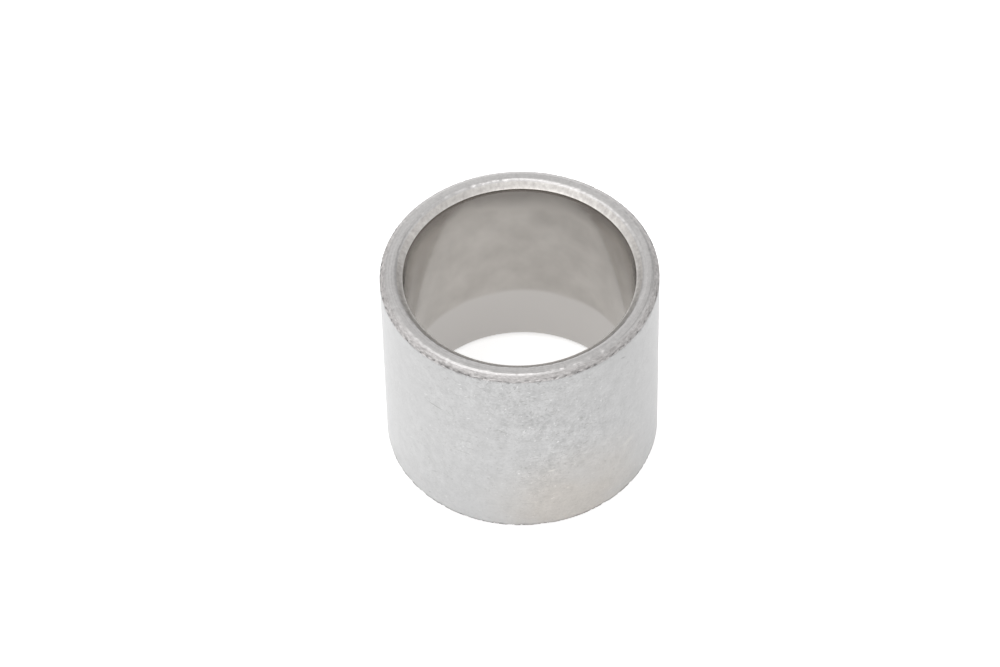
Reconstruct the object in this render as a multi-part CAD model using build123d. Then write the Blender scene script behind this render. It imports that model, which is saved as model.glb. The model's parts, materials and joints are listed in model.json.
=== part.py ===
from build123d import *
import os

# Spacer sleeve: a short, plain steel tube that slides over a shaft and keeps two
# parts, such as the inner rings of two bearings, a set distance apart.
# It is turned, bored and parted off from one bar, so it is one solid.
#
# Row frame: Z is the tube's axis, and the sleeve stands on its lower end face at Z = 0.
# All sizes are in millimetres.

# Driving dimensions
bore_diameter = 25.0     # running size over the shaft
wall_thickness = 2.5     # from the bore to the outside
length = 25.5            # between the two end faces, the distance that the sleeve keeps
outer_chamfer = 0.6      # 45 degree chamfer between each end face and the outside
bore_chamfer = 0.75      # 45 degree lead-in at each mouth of the bore
edge_radius = 0.12       # what tumbling leaves of every corner of the section

# Limits on the corner cuts, as shares of the wall and of the narrowest flat beside them
LARGEST_CHAMFER_SHARE = 0.4
LARGEST_EDGE_SHARE = 0.45

NODE = "spacer_sleeve"


def limited_chamfer(chamfer_size):
    """The chamfer asked for, or the largest that leaves a flat end face on this wall."""
    return min(chamfer_size, LARGEST_CHAMFER_SHARE * wall_thickness)


def wall_section():
    """One cut wall in the XZ plane: a rectangle with four chamfers, all corners broken."""
    outer_cut = limited_chamfer(outer_chamfer)
    bore_cut = limited_chamfer(bore_chamfer)
    end_flat = wall_thickness - outer_cut - bore_cut
    corner_radius = min(edge_radius, LARGEST_EDGE_SHARE * min(end_flat, outer_cut, bore_cut))
    wall_centre = (bore_diameter + wall_thickness) / 2

    with BuildSketch(Plane.XZ) as section:
        with Locations((wall_centre, length / 2)):
            Rectangle(wall_thickness, length)
        bore_corners = section.vertices().group_by(Axis.X)[0]
        outer_corners = section.vertices().group_by(Axis.X)[-1]
        chamfer(bore_corners, bore_cut)
        chamfer(outer_corners, outer_cut)
        fillet(section.vertices(), corner_radius)
    return section.sketch


def spacer_sleeve():
    """The whole sleeve: the wall section turned once round the axis."""
    return revolve(wall_section(), axis=Axis.Z)


sleeve = spacer_sleeve()
os.makedirs("parts", exist_ok=True)
export_step(sleeve, f"parts/{NODE}.step")
print(f"{NODE}: {len(sleeve.solids())} solid, {len(sleeve.faces())} faces, {sleeve.volume:.1f} mm3")
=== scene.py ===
# %% [markdown]
# # A spacer sleeve in tumbled steel
#
# The object is a short, plain tube of bright steel. It slides over a shaft and keeps two
# parts, such as the inner rings of two bearings, a set distance apart. It was turned and
# bored from bar, chamfered at all four corners of its wall, parted off and then tumbled
# with hard media, which leaves a matt outside and many small dings along the sharp edges.
#
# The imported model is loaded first. It gives the real size and place of the tube, and
# every later cell works in the same frame: metres, with Z along the tube's axis and the
# lower end face at Z = 0.

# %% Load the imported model
import json
import math

import bpy
from mathutils import Matrix, Vector


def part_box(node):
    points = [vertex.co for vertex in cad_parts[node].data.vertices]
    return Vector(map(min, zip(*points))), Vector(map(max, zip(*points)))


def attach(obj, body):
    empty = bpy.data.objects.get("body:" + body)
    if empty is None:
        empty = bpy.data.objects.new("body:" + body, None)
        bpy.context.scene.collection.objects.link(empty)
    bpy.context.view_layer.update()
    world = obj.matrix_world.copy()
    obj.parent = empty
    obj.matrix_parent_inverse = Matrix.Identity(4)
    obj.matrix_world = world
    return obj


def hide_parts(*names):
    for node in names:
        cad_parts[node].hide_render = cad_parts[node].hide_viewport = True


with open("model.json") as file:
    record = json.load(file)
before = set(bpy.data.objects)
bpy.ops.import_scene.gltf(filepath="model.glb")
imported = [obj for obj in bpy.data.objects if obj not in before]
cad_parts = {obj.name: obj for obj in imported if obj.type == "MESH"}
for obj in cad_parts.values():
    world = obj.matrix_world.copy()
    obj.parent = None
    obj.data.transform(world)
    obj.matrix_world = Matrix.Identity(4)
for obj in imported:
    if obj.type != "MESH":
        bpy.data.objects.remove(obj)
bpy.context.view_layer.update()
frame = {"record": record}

NODE = "spacer_sleeve"

# %% [markdown]
# ## Sizes
#
# Only the outside comes from the box. The bore is the size that the record gives for the
# shaft it fits. The chamfers repeat the values of the part's source, so that the dressed
# tube and the solid are the same shape.

# %% Sizes of the sleeve
MM = 0.001

low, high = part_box(NODE)
outside_radius = (high.x - low.x) / 2
sleeve_length = high.z - low.z
bore_mount = next(m for m in frame["record"]["mounts"] if m["name"] == "bore")
bore_radius = bore_mount["dims"]["r_mm"] * MM
outer_chamfer = 0.60 * MM
bore_chamfer = 0.75 * MM
crest_radius = 0.50 * MM          # tumbling rounds the corners at the end faces most
crest_setback = 0.09 * MM         # it draws the outer crest back towards the axis,
bore_crest_setback = -0.07 * MM   # and the crest at the bore away from it
corner_radius = 0.12 * MM         # where a chamfer meets the outside or the bore
sleeve_centre = Vector((0, 0, sleeve_length / 2))
print(f"outside {outside_radius / MM:.2f}, bore {bore_radius / MM:.2f}, "
      f"length {sleeve_length / MM:.2f} mm")

# %% [markdown]
# ## One helper for every node tree
#
# Geometry, materials and the world are all made of nodes. One function adds a node, sets
# its settings and fills its inputs: with a number, or with a link when it is given another
# node or one of its sockets.

# %% The helper that adds a node
def add(tree, kind, inputs=None, **settings):
    """Adds a node with its settings. inputs maps a socket's name or number to a value,
    a node (its first output) or a socket to link."""
    node = tree.nodes.new(kind)
    for setting, value in settings.items():
        setattr(node, setting, value)
    for key, value in (inputs or {}).items():
        if isinstance(value, bpy.types.Node):
            value = next(s for s in value.outputs if s.enabled)
        if isinstance(value, bpy.types.NodeSocket):
            tree.links.new(value, node.inputs[key])
        else:
            node.inputs[key].default_value = value
    return node


MATHS = "ShaderNodeMath"
VECTOR_MATHS = "ShaderNodeVectorMath"
VECTOR = "ShaderNodeCombineXYZ"
AXES = "ShaderNodeSeparateXYZ"
RANGE = "ShaderNodeMapRange"
NOISE = "ShaderNodeTexNoise"
MIX = "ShaderNodeMix"

# %% [markdown]
# ## What all the finishes share
#
# The whole tube is one bare steel, so its finishes differ only in how each surface was
# cut or rubbed. Colours are written as sRGB hex values, as a painter would pick them, and
# one function turns them to the linear values that Blender works with.
#
# A mark on the outside is easiest to place by how far round the tube it lies and how high
# it is. `unroll` works those out from the Object coordinates, so a pattern keeps its place
# when the tube moves.

# %% Colours
def linear(hex_colour):
    """An sRGB hex colour as the linear RGBA that Blender's sockets want."""
    values = [int(hex_colour[i:i + 2], 16) / 255 for i in (1, 3, 5)]
    return [v / 12.92 if v <= 0.04045 else ((v + 0.055) / 1.055) ** 2.4 for v in values] + [1.0]


# %% Start a material, and end it as bare steel
def new_material(name):
    """An empty node material; its tree comes back too, to be filled."""
    material = bpy.data.materials.new(name)
    material.use_nodes = True
    material.node_tree.nodes.clear()
    return material, material.node_tree


def finish_steel(tree, colour, roughness, normal, haze=0.0):
    """Bare metal: fully metallic, and its IOR stays at the default. Haze is the pale rim
    that a finely pitted surface shows at a glancing angle."""
    haze_roughness = 0.35
    steel = add(tree, "ShaderNodeBsdfPrincipled", {
        "Base Color": colour, "Metallic": 1.0, "Roughness": roughness, "Normal": normal,
        "Sheen Weight": haze, "Sheen Roughness": haze_roughness})
    add(tree, "ShaderNodeOutputMaterial", {"Surface": steel})
    print(f"a finish of {len(tree.nodes)} nodes")


# %% Places on the tube
def place_on_tube(tree):
    """The Object coordinates of a point, in metres."""
    return add(tree, "ShaderNodeTexCoord").outputs["Object"]


def unroll(tree):
    """The place of a point, its height, and its arc along the outside from the middle of
    the front, all in metres."""
    place = place_on_tube(tree)
    axes = add(tree, AXES, {0: place}).outputs
    towards = add(tree, MATHS, {0: axes["Y"], 1: -1.0}, operation="MULTIPLY")
    turn = add(tree, MATHS, {0: axes["X"], 1: towards}, operation="ARCTAN2")
    arc = add(tree, MATHS, {0: turn, 1: outside_radius}, operation="MULTIPLY")
    return place, axes["Z"], arc


def along_the_cut(tree, place, length, thickness):
    """A place stretched round the tube, so that noise read at it forms streaks of this
    length that follow the cutting tool, and of this thickness across. Part of the radius
    is taken from the height, so that the streaks also end across an end face."""
    flat = add(tree, VECTOR_MATHS, {0: place, 1: (1, 1, 0)}, operation="MULTIPLY")
    radius = add(tree, VECTOR_MATHS, {0: flat}, operation="LENGTH").outputs["Value"]
    heading = add(tree, VECTOR_MATHS, {0: flat}, operation="NORMALIZE")
    around = add(tree, VECTOR_MATHS, {0: heading, "Scale": outside_radius / length},
                 operation="SCALE")
    height = add(tree, AXES, {0: place}).outputs["Z"]
    radius_share = -0.37
    across = add(tree, MATHS, {0: radius, 1: radius_share, 2: height}, operation="MULTIPLY_ADD")
    across = add(tree, MATHS, {0: across, 1: thickness}, operation="DIVIDE")
    lifted = add(tree, VECTOR, {"Z": across})
    return add(tree, VECTOR_MATHS, {0: around, 1: lifted})


# %% [markdown]
# ## The tumbled outside
#
# The outside was turned, and then rubbed for hours among hard chips in a tumbling barrel.
# That leaves bare steel with a fine matt grain: a soft grey that shows no clear
# reflection, with a paler haze towards the edges of the outline, where many tiny pits are
# seen from the side. Here and there the chips have left dark pits, bright specks and
# scratches, more of them where the tube rolled against its neighbours.
#
# The grain is noise. One layer has the grain's own size and one is coarser and gives the
# mottling. The peaks and hollows of a third are single pits and specks, and stretched
# noise makes short dashes where chips slid. The real grit is about 0.05 mm and would not
# show, so it is drawn as coarse as 0.3 mm.

# %% The grain of the outside
tumbled, tree = new_material("tumbled_steel_outside")
place, height, arc = unroll(tree)
wall_place = add(tree, VECTOR, {"X": arc, "Y": height})

grain_size = 0.30 * MM
mottle_size = 1.2 * MM
drift_size = 6 * MM
grain_amount = 0.60
mottle_amount = 0.52
grain = add(tree, NOISE, {"Vector": place, "Scale": 1 / grain_size, "Detail": 5.0, "Roughness": 0.68})
mottle = add(tree, NOISE, {"Vector": place, "Scale": 1 / mottle_size, "Detail": 3.0})
drift = add(tree, NOISE, {"Vector": place, "Scale": 1 / drift_size, "Detail": 2.0})
fine = add(tree, RANGE, {"Value": grain, 1: 0.25, 2: 0.75, 3: -grain_amount, 4: grain_amount},
           clamp=False)
coarse = add(tree, RANGE, {"Value": mottle, 1: 0.25, 2: 0.75, 3: -mottle_amount, 4: mottle_amount},
             clamp=False)
both = add(tree, MATHS, {0: fine, 1: coarse})

# %% Where it was rubbed hardest
RUBBED = [
    # degrees round, height and reach (mm)
    (5.0, 18.0, 14.0),
    (112.0, 9.0, 12.0),
    (-128.0, 16.0, 13.0),
]
least_rubbed = 0.42
rubbed = None
for degrees, up, reach in RUBBED:
    middle = (math.radians(degrees) * outside_radius, up * MM, 0)
    away = add(tree, VECTOR_MATHS, {0: wall_place, 1: middle}, operation="DISTANCE")
    patch = add(tree, RANGE, {"Value": away.outputs["Value"], 1: 0.25 * reach * MM,
                              2: reach * MM, 3: 1.0, 4: least_rubbed}, interpolation_type="SMOOTHSTEP")
    rubbed = patch if rubbed is None else add(tree, MATHS, {0: rubbed, 1: patch}, operation="MAXIMUM")
patchy = add(tree, RANGE, {"Value": drift, 1: 0.35, 2: 0.65, 3: 0.65, 4: 1.25})
strength = add(tree, MATHS, {0: rubbed, 1: patchy}, operation="MULTIPLY")
speckle = add(tree, MATHS, {0: both, 1: strength}, operation="MULTIPLY")

# %% Its colour
tone = add(tree, MATHS, {0: speckle, 1: 0.5, 2: 0.5}, operation="MULTIPLY_ADD")
steel = add(tree, MIX, {0: tone, 6: linear("#ACACAC"), 7: linear("#D6D6D6")}, data_type="RGBA")

pit_size = 0.36 * MM
peak_from, peak_to = 0.66, 0.76       # only the highest peaks of noise make a pit or a dash
hollow_from, hollow_to = 0.33, 0.24   # and only its deepest hollows make a speck
pits = add(tree, NOISE, {"Vector": place, "Scale": 1 / pit_size, "Detail": 1.5, "Distortion": 0.4})
pitted = add(tree, RANGE, {"Value": pits, 1: peak_from, 2: peak_to, 3: 0.0, 4: 0.5})
pitted = add(tree, MATHS, {0: pitted, 1: strength}, operation="MULTIPLY")
specks = add(tree, RANGE, {"Value": pits, 1: hollow_from, 2: hollow_to, 3: 0.0, 4: 0.8})
specks = add(tree, MATHS, {0: specks, 1: strength}, operation="MULTIPLY")
dotted = add(tree, MIX, {0: pitted, 6: steel, 7: linear("#868482")}, data_type="RGBA")
dotted = add(tree, MIX, {0: specks, 6: dotted, 7: linear("#E8E8E8")}, data_type="RGBA")

# %% Short dashes where chips slid
DASHES = [
    # lean (degrees), length and width (mm)
    (12.0, 1.1, 0.13),
    (-32.0, 0.9, 0.12),
    (68.0, 0.8, 0.12),
]
for lean, length, width in DASHES:
    slid = add(tree, "ShaderNodeMapping", {
        "Vector": wall_place, "Rotation": (0, 0, math.radians(lean)),
        "Scale": (length * MM, width * MM, 1)}, vector_type="TEXTURE")
    dashes = add(tree, NOISE, {"Vector": slid, "Scale": 1.0, "Detail": 1.0})
    dashed = add(tree, RANGE, {"Value": dashes, 1: peak_from, 2: peak_to, 3: 0.0, 4: 0.6})
    dashed = add(tree, MATHS, {0: dashed, 1: strength}, operation="MULTIPLY")
    dotted = add(tree, MIX, {0: dashed, 6: dotted, 7: linear("#8A8886")}, data_type="RGBA")

# %% [markdown]
# ### Film and scratches on the outside
#
# A trace of the tumbling liquid has dried to a film, faintly warm low on one side. The wall
# has painted shade towards the top and a painted contact shadow along its lower edge.
#
# The single scratches are listed: where each lies, how long, wide and deep it is,
# and how it leans. A Mapping node in Texture mode turns each into a circle of radius 1, so
# one distance gives its soft shape. A negative depth is a pale rub, not a dark scratch.

# %% The film
film_middle = (6 * MM, 2 * MM, 0)
film_core = 2 * MM
film_reach = 13 * MM
from_film = add(tree, VECTOR_MATHS, {0: wall_place, 1: film_middle}, operation="DISTANCE")
film = add(tree, RANGE, {"Value": from_film.outputs["Value"], 1: film_core, 2: film_reach,
                         3: 1.0, 4: 0.0}, interpolation_type="SMOOTHSTEP")
film = add(tree, MATHS, {0: film, 1: patchy}, operation="MULTIPLY")
filmed = add(tree, MIX, {0: film, 6: dotted, 7: linear("#FFFAF4")}, data_type="RGBA",
             blend_type="MULTIPLY")

# %% Painted shade towards the top, and a painted shadow along the lower edge
# painted shade: the wall's colour is darkened towards the top
top_shade_from = 4 * MM
top_shade_amount = 0.13
darker_tone = add(tree, RANGE, {"Value": height, 1: top_shade_from, 2: sleeve_length, 3: 0.0, 4: top_shade_amount})
top_shaded = add(tree, MIX, {0: darker_tone, 6: filmed, 7: linear("#8E8D8F")}, data_type="RGBA")
# painted contact shadow: the lowest 0.35 mm of the wall is darkened
contact_shade_height = 0.35 * MM
contact_shade_amount = 0.45
contact_shade = add(tree, RANGE, {"Value": height, 1: outer_chamfer, 2: outer_chamfer + contact_shade_height,
                         3: contact_shade_amount, 4: 0.0}, interpolation_type="SMOOTHSTEP")
shade_painted = add(tree, MIX, {0: contact_shade, 6: top_shaded, 7: linear("#5E5C5A")}, data_type="RGBA")

# %% The scratches
SCRATCHES = [
    # degrees round, height, length, width (mm), lean (degrees), depth
    (-38.0, 17.6, 2.3, 0.20, -4.0, 1.0),
    (-46.5, 11.7, 0.5, 0.18, 25.0, 0.7),
    (-40.0, 6.0, 1.0, 0.18, 30.0, 0.5),
    (-43.0, 1.7, 0.6, 0.16, 35.0, 0.8),
    (-25.5, 11.8, 2.2, 0.14, 2.0, 0.5),
    (-9.0, 16.8, 2.4, 0.12, -28.0, 0.6),
    (46.0, 23.3, 0.9, 0.22, -25.0, 0.9),
    (69.0, 2.4, 1.2, 0.18, -30.0, 0.5),
    (9.0, 5.4, 1.0, 0.14, 12.0, 0.4),
    (2.0, 4.4, 1.3, 0.14, -6.0, 0.4),
    (12.0, 9.7, 1.1, 0.30, 10.0, -0.7),
    (50.0, 8.4, 2.2, 0.9, 8.0, -0.35),
    (118.0, 14.2, 2.1, 0.18, -20.0, 0.8),
    (141.0, 6.3, 1.4, 0.16, 35.0, 0.6),
    (-104.0, 8.8, 1.8, 0.18, 12.0, 0.7),
    (-152.0, 18.5, 2.6, 0.16, -35.0, 0.6),
    (173.0, 11.0, 1.2, 0.20, 5.0, 0.7),
]
scratch_darkness = 0.45
scored = None
rubs = None
for degrees, up, length, width, lean, depth in SCRATCHES:
    local = add(tree, "ShaderNodeMapping", {
        "Vector": wall_place,
        "Location": (math.radians(degrees) * outside_radius, up * MM, 0),
        "Rotation": (0, 0, math.radians(lean)),
        "Scale": (length / 2 * MM, width / 2 * MM, 1)}, vector_type="TEXTURE")
    away = add(tree, VECTOR_MATHS, {0: local}, operation="LENGTH").outputs["Value"]
    mark = add(tree, RANGE, {"Value": away, 1: 0.3, 2: 1.2, 3: abs(depth), 4: 0.0})
    if depth > 0:
        scored = mark if scored is None else add(tree, MATHS, {0: scored, 1: mark}, operation="MAXIMUM")
    else:
        rubs = mark if rubs is None else add(tree, MATHS, {0: rubs, 1: mark}, operation="MAXIMUM")
shaded = add(tree, MATHS, {0: scored, 1: scratch_darkness}, operation="MULTIPLY")
marked = add(tree, MIX, {0: shaded, 6: shade_painted, 7: linear("#5E5C5A")}, data_type="RGBA")
marked = add(tree, MIX, {0: rubs, 6: marked, 7: linear("#DCDAD4")}, data_type="RGBA")

# %% Finish the outside
relief = add(tree, MATHS, {0: speckle, 1: scored}, operation="SUBTRACT")
grit = add(tree, "ShaderNodeBump", {"Height": relief, "Strength": 0.5, "Distance": 0.012 * MM})
finish_steel(tree, marked, roughness=0.38, normal=grit, haze=0.45)

# %% [markdown]
# ## The honed bore
#
# The bore was honed to fit a shaft, so it is much smoother than the outside and shows
# soft, dark reflections of what lies around it. The hone's stroke ended short of the lower
# end, where a paler band is left. Near the mouth the bore is darkened with painted shade.

# %% Honed bore
honed, tree = new_material("honed_steel_bore")
place = place_on_tube(tree)
height = add(tree, AXES, {0: place}).outputs["Z"]
cloud_size = 3.5 * MM
cloud = add(tree, NOISE, {"Vector": place, "Scale": 1 / cloud_size, "Detail": 3.0})
tone = add(tree, RANGE, {"Value": cloud, 1: 0.3, 2: 0.7, 3: 0.0, 4: 1.0})
steel = add(tree, MIX, {0: tone, 6: linear("#BCB8B3"), 7: linear("#CCC8C3")}, data_type="RGBA")
stroke_height = 8.0 * MM
stroke_wander = 0.8 * MM
wander = add(tree, MATHS, {0: cloud, 1: stroke_wander, 2: height}, operation="MULTIPLY_ADD")
stroke_end = add(tree, RANGE, {"Value": wander, 1: stroke_height, 2: stroke_height + stroke_wander,
                               3: 1.0, 4: 0.0}, interpolation_type="SMOOTHSTEP")
banded = add(tree, MIX, {0: stroke_end, 6: steel, 7: linear("#D5D2CF")}, data_type="RGBA")
# painted shade: the bore is darkened near its mouth
mouth_shade_wander = 4.0 * MM
mouth_shade_from = sleeve_length - 1.8 * MM
mouth_shade_full = sleeve_length + 0.9 * MM
mouth_shade_edge = add(tree, MATHS, {0: cloud, 1: mouth_shade_wander, 2: height}, operation="MULTIPLY_ADD")
mouth_shade = add(tree, RANGE, {"Value": mouth_shade_edge, 1: mouth_shade_from, 2: mouth_shade_full, 3: 0.0, 4: 0.72},
            interpolation_type="SMOOTHSTEP")
mouth_shaded = add(tree, MIX, {0: mouth_shade, 6: banded, 7: linear("#8E8986")}, data_type="RGBA")
grit = add(tree, "ShaderNodeBump", {"Height": cloud, "Strength": 0.45, "Distance": 0.035 * MM})
finish_steel(tree, mouth_shaded, roughness=0.15, normal=grit)

# %% [markdown]
# ## The end faces
#
# Each end face was cut square with a facing tool that moved outwards as the bar turned. It
# left rings finer than a hair, which the tumbling has half rubbed away. Noise stretched
# far round the tube gives such rings; the same matt grain lies over them.

# %% Turned end faces
turned, tree = new_material("turned_steel_end_face")
place = place_on_tube(tree)
grain = add(tree, NOISE, {"Vector": place, "Scale": 1 / grain_size, "Detail": 4.0, "Roughness": 0.62})
ring_size = 0.06 * MM
ring_arc = 14 * MM
ring_place = along_the_cut(tree, place, ring_arc, ring_size)
rings = add(tree, NOISE, {"Vector": ring_place, "Scale": 1.0, "Detail": 1.0})
both = add(tree, MATHS, {0: grain, 1: rings})
tone = add(tree, RANGE, {"Value": both, 1: 0.6, 2: 1.4, 3: 0.0, 4: 1.0})
steel = add(tree, MIX, {0: tone, 6: linear("#B2B0AF"), 7: linear("#CFCDCC")}, data_type="RGBA")
grit = add(tree, "ShaderNodeBump", {"Height": both, "Strength": 0.5, "Distance": 0.01 * MM})
finish_steel(tree, steel, roughness=0.32, normal=grit)

# %% [markdown]
# ## The chamfers
#
# Both chamfers were cut with a plain tool that chattered a little, so they carry short
# streaks that run round the tube. In the barrel the outer chamfer took the knocks: it is
# duller and nicked along its lower edge, and painted shade darkens the nicks. The chamfer
# at the bore is sheltered and stays bright. One function makes both, with a few values
# that differ.

# %% Chamfers
def chamfer_steel(name, darker_tone, bright, roughness, nick_shade):
    """A chamfer's finish: streaks that run round the tube, and painted shade in the nicks."""
    material, tree = new_material(name)
    streak_length = 0.55 * MM
    streak_width = 0.20 * MM
    streak_place = along_the_cut(tree, place_on_tube(tree), streak_length, streak_width)
    streaks = add(tree, NOISE, {"Vector": streak_place, "Scale": 1.0, "Detail": 4.0,
                                "Roughness": 0.65})
    tone = add(tree, RANGE, {"Value": streaks, 1: 0.3, 2: 0.7, 3: 0.0, 4: 1.0})
    steel = add(tree, MIX, {0: tone, 6: linear(darker_tone), 7: linear(bright)}, data_type="RGBA")
    nick = add(tree, "ShaderNodeAttribute", attribute_name="nick").outputs["Fac"]
    # painted shade: the nicks are darkened
    shade_painted = add(tree, MATHS, {0: nick, 1: nick_shade}, operation="MULTIPLY")
    nick_shaded = add(tree, MIX, {0: shade_painted, 6: steel, 7: linear("#4E4B4A")}, data_type="RGBA")
    grit = add(tree, "ShaderNodeBump", {"Height": streaks, "Strength": 0.6, "Distance": 0.03 * MM})
    finish_steel(tree, nick_shaded, roughness, grit)
    return material


# the last value is how strongly painted shade darkens the nicks
scuffed = chamfer_steel("scuffed_steel_outer_chamfer", "#A29F9E", "#D8D5D4", 0.45, 0.65)
bright_cut = chamfer_steel("turned_steel_bore_chamfer", "#BCB8B5", "#DEDBD7", 0.45, 0.0)

# %% [markdown]
# ## The tube, turned by Geometry Nodes
#
# A turned part follows one rule: its section, swept once round the axis. That is what
# the node tree below does. It has the tube's real sizes as named inputs, so the same tree
# would make a longer or a thinner sleeve.

# %% The tree and its inputs
lathe = bpy.data.node_groups.new("sleeve lathe", "GeometryNodeTree")
SIZE_INPUTS = {
    "Outside radius": outside_radius,
    "Bore radius": bore_radius,
    "Length": sleeve_length,
    "Outer chamfer": outer_chamfer,
    "Bore chamfer": bore_chamfer,
    "Crest radius": crest_radius,
    "Crest set-back": crest_setback,
    "Bore crest set-back": bore_crest_setback,
    "Corner radius": corner_radius,
    "Fine ring": 0.065 * MM,
    "Coarse ring": 0.25 * MM,
    "Nick depth": 0.10 * MM,
    "Dent depth": 0.035 * MM,
}
for name in SIZE_INPUTS:
    lathe.interface.new_socket(name, in_out="INPUT", socket_type="NodeSocketFloat")
COUNT_INPUTS = {"Segments": 740, "Wall rings": 44, "Bore rings": 14}
for name in COUNT_INPUTS:
    lathe.interface.new_socket(name, in_out="INPUT", socket_type="NodeSocketInt")
lathe.interface.new_socket("Geometry", in_out="OUTPUT", socket_type="NodeSocketGeometry")
size = add(lathe, "NodeGroupInput").outputs

wall = add(lathe, MATHS, {0: size["Outside radius"], 1: size["Bore radius"]}, operation="SUBTRACT")
half_length = add(lathe, MATHS, {0: size["Length"], 1: 0.5}, operation="MULTIPLY")
wall_centre = add(lathe, MATHS, {0: wall, 1: 0.5, 2: size["Bore radius"]}, operation="MULTIPLY_ADD")
straight = add(lathe, MATHS, {0: half_length, 1: size["Outer chamfer"]}, operation="SUBTRACT")

# %% [markdown]
# ### The section of the wall
#
# The section starts as a rectangle round its own centre. Fillet Curve with a single point
# per corner is a chamfer. A second fillet with three points rounds what the chamfers left:
# the crests at the end faces more than the corners on the outside and in the bore, since
# tumbling wears a proud edge first.

# %% Rectangle, chamfers and softened corners
here = add(lathe, "GeometryNodeInputPosition")
side = add(lathe, AXES, {0: here}).outputs["X"]
level = add(lathe, AXES, {0: here}).outputs["Y"]
on_outside = add(lathe, "FunctionNodeCompare", {0: side, 1: 0.0}, operation="GREATER_THAN")
cut = add(lathe, "GeometryNodeSwitch",
          {0: on_outside, 1: size["Bore chamfer"], 2: size["Outer chamfer"]}, input_type="FLOAT")
rectangle = add(lathe, "GeometryNodeCurvePrimitiveQuadrilateral",
                {"Width": wall, "Height": size["Length"]})
chamfered = add(lathe, "GeometryNodeFilletCurve",
                {"Curve": rectangle, "Radius": cut, "Count": 1}, mode="POLY")

steepness = add(lathe, MATHS, {0: level}, operation="ABSOLUTE")
crest_margin = 0.05 * MM
near_face = add(lathe, MATHS, {0: half_length, 1: crest_margin}, operation="SUBTRACT")
at_crest = add(lathe, "FunctionNodeCompare", {0: steepness, 1: near_face}, operation="GREATER_THAN")
corner = add(lathe, "GeometryNodeSwitch",
             {0: at_crest, 1: size["Corner radius"], 2: size["Crest radius"]}, input_type="FLOAT")
rounded = add(lathe, "GeometryNodeFilletCurve",
              {"Curve": chamfered, "Radius": corner, "Count": 4}, mode="POLY")

# %% [markdown]
# ### Rings where they are needed
#
# The nicks need small faces, but the long plain walls don't. Each run of the section is
# divided by its own length: finely on the outer chamfers, coarsely elsewhere, and at most
# so many times on the walls. The wall's rings are then drawn towards the two ends by a
# sine, which leaves them close together beside the chamfers, where the nicks are. The
# same step sets the section at its distance from the axis and draws back the worn crests.

# %% Divide the section
next_point = add(lathe, "GeometryNodeOffsetPointInCurve", {"Offset": 1}).outputs["Point Index"]
next_place = add(lathe, "GeometryNodeFieldAtIndex", {"Value": here, "Index": next_point},
                 data_type="FLOAT_VECTOR")
run = add(lathe, VECTOR_MATHS, {0: here, 1: next_place}, operation="DISTANCE").outputs["Value"]
run_middle = add(lathe, VECTOR_MATHS, {0: here, 1: next_place})
doubled_side = add(lathe, AXES, {0: run_middle}).outputs["X"]
outer_side = 0.3 * MM  # from the middle of the wall
outer_run = add(lathe, "FunctionNodeCompare", {0: doubled_side, 1: 2 * outer_side},
                operation="GREATER_THAN")
spacing = add(lathe, "GeometryNodeSwitch",
              {0: outer_run, 1: size["Coarse ring"], 2: size["Fine ring"]}, input_type="FLOAT")
most = add(lathe, "GeometryNodeSwitch",
           {0: outer_run, 1: size["Bore rings"], 2: size["Wall rings"]}, input_type="INT")
wanted = add(lathe, MATHS, {0: run, 1: spacing}, operation="DIVIDE")
cuts = add(lathe, MATHS, {0: wanted, 1: most}, operation="MINIMUM")
divided = add(lathe, "GeometryNodeSubdivideCurve", {"Curve": rounded, "Cuts": cuts})

# %% Draw the rings to the ends and set the section in place
pull = 0.85
corner_reach = math.tan(math.radians(22.5))
wall_end = add(lathe, MATHS, {0: size["Corner radius"], 1: -corner_reach, 2: straight},
               operation="MULTIPLY_ADD")
along = add(lathe, MATHS, {0: level, 1: wall_end}, operation="DIVIDE")
inside = add(lathe, "ShaderNodeClamp", {"Value": along, "Min": -1.0, "Max": 1.0})
quarter = add(lathe, MATHS, {0: inside, 1: math.pi / 2}, operation="MULTIPLY")
wave = add(lathe, MATHS, {0: quarter}, operation="SINE")
shift = add(lathe, MATHS, {0: wave, 1: inside}, operation="SUBTRACT")
lift = add(lathe, MATHS, {0: shift, 1: wall_end}, operation="MULTIPLY")
raised = add(lathe, MATHS, {0: lift, 1: pull, 2: half_length}, operation="MULTIPLY_ADD")
setback = add(lathe, "GeometryNodeSwitch", {0: on_outside, 1: size["Bore crest set-back"],
                                            2: size["Crest set-back"]}, input_type="FLOAT")
worn = add(lathe, RANGE, {"Value": steepness, 1: straight, 2: half_length, 3: 0.0, 4: setback})
outwards = add(lathe, MATHS, {0: wall_centre, 1: worn}, operation="SUBTRACT")
moved = add(lathe, VECTOR, {"X": outwards, "Y": raised})
section = add(lathe, "GeometryNodeSetPosition", {"Geometry": divided, "Offset": moved})

# %% [markdown]
# ### Round the axis
#
# Curve to Mesh sweeps the section along a circle. Its own way of turning a section is not
# exact enough for a shaft's bore, so each point remembers two things: its place in the
# section, and how far round the circle it is. From those, sine and cosine give its exact
# place. The faces come out inwards, so they are flipped.

# %% Sweep the section
kept = add(lathe, "GeometryNodeStoreNamedAttribute",
           {"Geometry": section, "Name": "section", "Value": here}, data_type="FLOAT_VECTOR")
circle = add(lathe, "GeometryNodeCurvePrimitiveCircle", {"Resolution": size["Segments"]})
turn = add(lathe, "GeometryNodeStoreNamedAttribute",
           {"Geometry": circle, "Name": "turn", "Value": add(lathe, "GeometryNodeSplineParameter")},
           data_type="FLOAT")
swept = add(lathe, "GeometryNodeCurveToMesh", {"Curve": turn, "Profile Curve": kept})
outward = add(lathe, "GeometryNodeFlipFaces", {"Mesh": swept})

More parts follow.
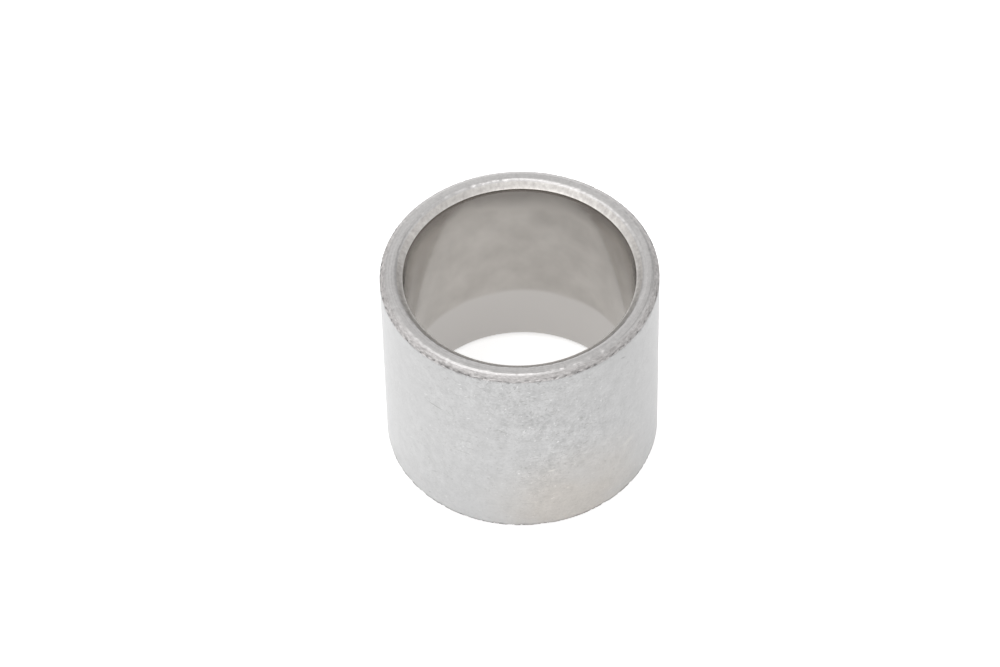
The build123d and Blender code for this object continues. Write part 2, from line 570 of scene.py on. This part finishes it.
# %% Put each point in its exact place
spot = add(lathe, "GeometryNodeInputNamedAttribute", {"Name": "section"},
           data_type="FLOAT_VECTOR").outputs[0]
share = add(lathe, "GeometryNodeInputNamedAttribute", {"Name": "turn"}, data_type="FLOAT").outputs[0]
angle = add(lathe, MATHS, {0: share, 1: 2 * math.pi}, operation="MULTIPLY")
cosine = add(lathe, MATHS, {0: angle}, operation="COSINE")
sine = add(lathe, MATHS, {0: angle}, operation="SINE")
spot_radius = add(lathe, AXES, {0: spot}).outputs["X"]
spot_height = add(lathe, AXES, {0: spot}).outputs["Y"]
exact = add(lathe, VECTOR, {
    "X": add(lathe, MATHS, {0: spot_radius, 1: cosine}, operation="MULTIPLY"),
    "Y": add(lathe, MATHS, {0: spot_radius, 1: sine}, operation="MULTIPLY"),
    "Z": spot_height})
tube = add(lathe, "GeometryNodeSetPosition", {"Geometry": outward, "Position": exact})

# %% [markdown]
# ### Nicks and dents
#
# In the barrel the tubes knock against each other edge to edge. The sharp corner below
# the outer chamfer is nibbled all the way round, in some places more than in others, with
# flat nicks longer than they are high, and a little more on the front than on the back.
# The crests have only shallow dents. Both are real shape: points are pushed inwards, so
# nothing grows past the tube's size. How deep a point was pushed is stored as "nick", and
# the chamfer's finish darkens it there with painted shade.

# %% How near a point is to the edges
middle = add(lathe, VECTOR, {"Y": half_length})
from_middle = add(lathe, VECTOR_MATHS, {0: spot, 1: middle}, operation="SUBTRACT")
folded = add(lathe, VECTOR_MATHS, {0: from_middle}, operation="ABSOLUTE")
edge = add(lathe, VECTOR, {"X": size["Outside radius"], "Y": straight})
from_edge = add(lathe, VECTOR_MATHS, {0: folded, 1: edge}, operation="DISTANCE").outputs["Value"]
nick_core = 0.08 * MM
nick_reach = 0.38 * MM
near_edge = add(lathe, RANGE, {"Value": from_edge, 1: nick_core, 2: nick_reach, 3: 1.0, 4: 0.0},
                interpolation_type="SMOOTHSTEP")
folded_height = add(lathe, AXES, {0: folded}).outputs["Y"]
near_end = add(lathe, RANGE, {"Value": folded_height, 1: straight, 2: half_length, 3: 0.0, 4: 1.0})

# %% Nicks
nick_length = 0.45 * MM
nick_height = 0.18 * MM
crowd_size = 3.5 * MM
front_share = 0.035
nick_place = along_the_cut(lathe, here, nick_length, nick_height)
dings = add(lathe, NOISE, {"Vector": nick_place, "Scale": 1.0, "Detail": 2.0, "Distortion": 0.3})
crowding = add(lathe, NOISE, {"Vector": here, "Scale": 1 / crowd_size, "Detail": 0.0})
bias = add(lathe, RANGE, {"Value": crowding, 1: 0.35, 2: 0.65, 3: -0.06, 4: 0.07})
crowded = add(lathe, MATHS, {0: dings, 1: bias})
towards_back = add(lathe, AXES, {0: here}).outputs["Y"]
crowded = add(lathe, MATHS, {0: towards_back, 1: -front_share / outside_radius, 2: crowded},
              operation="MULTIPLY_ADD")
hit = add(lathe, RANGE, {"Value": crowded, 1: 0.52, 2: 0.66, 3: 0.0, 4: 1.0},
          interpolation_type="SMOOTHSTEP")
nick = add(lathe, MATHS, {0: hit, 1: near_edge}, operation="MULTIPLY")

# %% Dents
dent_size = 0.7 * MM
knocks = add(lathe, NOISE, {"Vector": here, "Scale": 1 / dent_size, "Detail": 2.0})
dent = add(lathe, RANGE, {"Value": knocks, 1: 0.40, 2: 0.70, 3: 0.0, 4: 1.0},
           interpolation_type="SMOOTHSTEP")
dent = add(lathe, MATHS, {0: dent, 1: near_end}, operation="MULTIPLY")
dent_depth = add(lathe, MATHS, {0: dent, 1: size["Dent depth"]}, operation="MULTIPLY")
pushed = add(lathe, MATHS, {0: nick, 1: size["Nick depth"], 2: dent_depth}, operation="MULTIPLY_ADD")
inward = add(lathe, MATHS, {0: pushed, 1: -1.0}, operation="MULTIPLY")
push = add(lathe, VECTOR_MATHS, {0: add(lathe, "GeometryNodeInputNormal"), "Scale": inward},
           operation="SCALE")
noted = add(lathe, "GeometryNodeStoreNamedAttribute",
            {"Geometry": tube, "Name": "nick", "Value": nick}, data_type="FLOAT")
nicked = add(lathe, "GeometryNodeSetPosition", {"Geometry": noted, "Offset": push})

# %% [markdown]
# ### A finish for each zone
#
# The stored section says which cut a face belongs to. Set Material starts with the
# tumbled outside everywhere and then gives the bore, the chamfers and the end faces their
# own finishes.

# %% Which face is where
folded_radius = add(lathe, AXES, {0: folded}).outputs["X"]
bore_margin = 0.04 * MM
face_margin = 0.12 * MM
bore_limit = add(lathe, MATHS, {0: size["Bore radius"], 1: bore_margin})
face_limit = add(lathe, MATHS, {0: half_length, 1: face_margin}, operation="SUBTRACT")
in_bore = add(lathe, "FunctionNodeCompare", {0: folded_radius, 1: bore_limit}, operation="LESS_THAN")
bore_half = add(lathe, "FunctionNodeCompare", {0: folded_radius, 1: wall_centre},
                operation="LESS_THAN")
past_wall = add(lathe, "FunctionNodeCompare", {0: folded_height, 1: straight},
                operation="GREATER_THAN")
on_face = add(lathe, "FunctionNodeCompare", {0: folded_height, 1: face_limit},
              operation="GREATER_THAN")

# %% Give each zone its finish
smooth = add(lathe, "GeometryNodeSetShadeSmooth", {"Geometry": nicked})
finished = add(lathe, "GeometryNodeSetMaterial", {"Geometry": smooth, "Material": tumbled})
for zone, finish in ((past_wall, scuffed), (bore_half, bright_cut), (in_bore, honed), (on_face, turned)):
    finished = add(lathe, "GeometryNodeSetMaterial",
                   {"Geometry": finished, "Selection": zone, "Material": finish})
real = add(lathe, "GeometryNodeRealizeInstances", {"Geometry": finished})
add(lathe, "NodeGroupOutput", {0: real})
print(f"the lathe has {len(lathe.nodes)} nodes")

# %% [markdown]
# ### Run the lathe
#
# The tree runs as a modifier on an empty mesh. Its result is taken as a plain mesh, and
# the modifier is removed, so that what is handed on has no live parts. The volume tells at
# once whether the tube is closed and the right way out.

# %% Make the tube
sleeve = bpy.data.objects.new("tumbled_sleeve", bpy.data.meshes.new("tumbled_sleeve"))
bpy.context.scene.collection.objects.link(sleeve)
turning = sleeve.modifiers.new("lathe", "NODES")
turning.node_group = lathe
for item in lathe.interface.items_tree:
    if item.in_out == "INPUT":
        turning[item.identifier] = {**SIZE_INPUTS, **COUNT_INPUTS}[item.name]
made = bpy.data.meshes.new_from_object(sleeve.evaluated_get(bpy.context.evaluated_depsgraph_get()))
sleeve.modifiers.remove(turning)
sleeve.data = made
made.name = "tumbled_sleeve"

# %% Measure the tube and hand it over
made.calc_loop_triangles()
volume = 0
for triangle in made.loop_triangles:
    a, b, c = (made.vertices[i].co for i in triangle.vertices)
    volume += a.dot(b.cross(c)) / 6
print(f"{sleeve.name}: {len(made.vertices)} points, {len(made.loop_triangles)} triangles, "
      f"{volume / MM ** 3:.1f} mm3, finishes {[m.name for m in made.materials]}")

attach(sleeve, "root")
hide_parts(NODE)

# %% [markdown]
# ## The floor
#
# The tube stands on a sheet of white paper, a hair's breadth below it. Paper is matt, so
# it is a Diffuse shader, and it keeps the tube's soft shadow. To the camera the paper
# glows a little as well, which takes it to white. Steel sees some of that glow too, or its
# reflections of the floor would be greyer than the floor beside it.

# %% Paper on the floor
floor_half = 1.5
paper_gap = 0.02 * MM
floor_mesh = bpy.data.meshes.new("studio_floor")
floor_mesh.from_pydata([(-floor_half, -floor_half, 0), (floor_half, -floor_half, 0),
                        (floor_half, floor_half, 0), (-floor_half, floor_half, 0)], [], [(0, 1, 2, 3)])
floor_mesh.transform(Matrix.Translation((0, 0, -paper_gap)))
floor = bpy.data.objects.new("studio_floor", floor_mesh)
bpy.context.scene.collection.objects.link(floor)

paper, tree = new_material("white_paper")
seen_glow = 0.62
mirrored_glow = (0.37, 0.16)  # on the left and on the right of the tube
glow_reach = 40 * MM
rays = add(tree, "ShaderNodeLightPath").outputs
matt = add(tree, "ShaderNodeBsdfDiffuse", {"Color": linear("#F4F4F4")})
seen = add(tree, MATHS, {0: rays["Is Camera Ray"], 1: seen_glow}, operation="MULTIPLY")
mirrored = add(tree, MATHS, {0: rays["Is Glossy Ray"], 1: rays["Is Transmission Ray"]})
sideways = add(tree, AXES, {0: add(tree, "ShaderNodeTexCoord").outputs["Object"]}).outputs["X"]
mirrored_level = add(tree, RANGE, {"Value": sideways, 1: -glow_reach, 2: glow_reach,
                                   3: mirrored_glow[0], 4: mirrored_glow[1]})
lifted = add(tree, MATHS, {0: mirrored, 1: mirrored_level, 2: seen}, operation="MULTIPLY_ADD")
glow = add(tree, "ShaderNodeEmission", {"Color": linear("#FFFFFF"), "Strength": lifted})
lit = add(tree, "ShaderNodeAddShader", {0: matt, 1: glow})
add(tree, "ShaderNodeOutputMaterial", {"Surface": lit})
floor_mesh.materials.append(paper)

# %% [markdown]
# ## The light tent
#
# Bright metal shows whatever stands round it, so a studio puts small metal parts in a
# tent of white cloth, with lamps behind the cloth. The world is that tent. Each panel is a
# soft round patch of light in one direction: the dot product of two directions is 1 along
# the panel's middle, and a power makes it fade within about 30 degrees.

# %% The tent's panels
PANELS = [
    # degrees round from the camera's side, degrees up, brightness
    (0, 50, 0.78), (45, 50, 0.62), (90, 50, 0.13), (135, 50, 0.17),
    (180, 50, 0.35), (225, 50, 0.44), (270, 50, 0.72), (315, 50, 0.39),
    (0, 8, 0.44), (45, 8, 0.47), (90, 8, 0.71), (135, 8, 0.41),
    (180, 8, 1.10), (225, 8, 0.50), (270, 8, 0.98), (315, 8, 0.27),
    (0, 90, 0.65),
]
panel_fade = 8.0

world = bpy.data.worlds.new("light tent")
bpy.context.scene.world = world
world.use_nodes = True
tree = world.node_tree
tree.nodes.clear()
direction = add(tree, "ShaderNodeTexCoord").outputs["Generated"]
cloth = None
for degrees_round, degrees_up, brightness in PANELS:
    away, raised_by = math.radians(degrees_round), math.radians(degrees_up)
    towards = (math.sin(away) * math.cos(raised_by), -math.cos(away) * math.cos(raised_by),
               math.sin(raised_by))
    facing = add(tree, VECTOR_MATHS, {0: direction, 1: towards}, operation="DOT_PRODUCT")
    ahead = add(tree, MATHS, {0: facing.outputs["Value"], 1: 0.0}, operation="MAXIMUM")
    faded = add(tree, MATHS, {0: ahead, 1: panel_fade}, operation="POWER")
    cloth = add(tree, MATHS, {0: faded, 1: brightness, 2: cloth or 0.0}, operation="MULTIPLY_ADD")
tent = add(tree, "ShaderNodeBackground", {"Color": linear("#FFFFFF"), "Strength": cloth})

# %% White to the camera
white = add(tree, "ShaderNodeBackground", {"Color": linear("#FFFFFF"), "Strength": 1.0})
rays = add(tree, "ShaderNodeLightPath").outputs
straight_rays = add(tree, MATHS, {0: rays["Is Camera Ray"], 1: rays["Is Transmission Ray"]},
                    operation="MAXIMUM")
mixed = add(tree, "ShaderNodeMixShader", {0: straight_rays, 1: tent, 2: white})
add(tree, "ShaderNodeOutputWorld", {"Surface": mixed})
print(f"the tent has {len(PANELS)} panels")

# %% [markdown]
# ## The softboxes
#
# The tent's cloth alone would leave the steel flat. Seven softboxes aimed at the middle of
# the tube give it form: one overhead, one high at the back, a large one high on the left,
# and four close by, two on the left, one on the right and one at the back.

# %% Softboxes
def softbox(name, place, aim, side, radiance):
    """A square area lamp that shines evenly from its whole face."""
    data = bpy.data.lights.new(name, "AREA")
    data.size = side
    data.energy = radiance * math.pi * side ** 2
    lamp = bpy.data.objects.new(name, data)
    lamp.location = place
    lamp.rotation_euler = (Vector(aim) - Vector(place)).to_track_quat("-Z", "Y").to_euler()
    bpy.context.scene.collection.objects.link(lamp)


SOFTBOXES = [
    # name, place (m), side (m), brightness
    ("overhead_softbox", (0.0, 0.0, 0.61), 0.16, 1.80),
    ("high_back_softbox", (0.0, 0.155, 0.59), 0.16, 1.14),
    ("key_softbox", (-0.3, -0.25, 0.62), 0.3, 0.87),
    ("near_left_softbox", (-0.1, 0.0, 0.25), 0.15, 0.48),
    ("low_left_softbox", (-0.14, -0.04, 0.12), 0.12, 0.11),
    ("near_right_softbox", (0.16, 0.05, 0.16), 0.12, 0.64),
    ("near_back_softbox", (0.0, 0.22, 0.16), 0.16, 0.16),
]
for name, place, side, radiance in SOFTBOXES:
    softbox(name, place, sleeve_centre, side, radiance)
print(f"{len(SOFTBOXES)} softboxes")

# %% [markdown]
# ## The camera
#
# The camera looks down at 50 degrees through a long lens, so that the round end face
# reads as a full ellipse and the tube hardly tapers. It is aimed a little beside the
# tube's centre and rolled a touch, which frames the tube without any lens shift.

# %% Camera
lens = 160.9
elevation = math.radians(50.0)
distance = 487.43 * MM
side_shift = -2.247 * MM
up_shift = 1.651 * MM
roll = math.radians(-1.418)

back = Vector((0, -math.cos(elevation), math.sin(elevation)))
up = Vector((0, math.sin(elevation), math.cos(elevation)))
eye = sleeve_centre + back * distance
target = sleeve_centre + Vector((1, 0, 0)) * side_shift + up * up_shift
camera_data = bpy.data.cameras.new("camera")
camera_data.lens = lens
camera_data.sensor_width = 36.0
camera_data.clip_start = 0.01
camera_data.clip_end = 10.0
camera = bpy.data.objects.new("camera", camera_data)
aimed = (target - eye).to_track_quat("-Z", "Y").to_matrix().to_4x4()
camera.matrix_world = Matrix.Translation(eye) @ aimed @ Matrix.Rotation(roll, 4, "Z")
bpy.context.scene.collection.objects.link(camera)
bpy.context.scene.camera = camera
bpy.context.scene.view_settings.view_transform = "Standard"
print(f"the camera is {distance / MM:.0f} mm away")
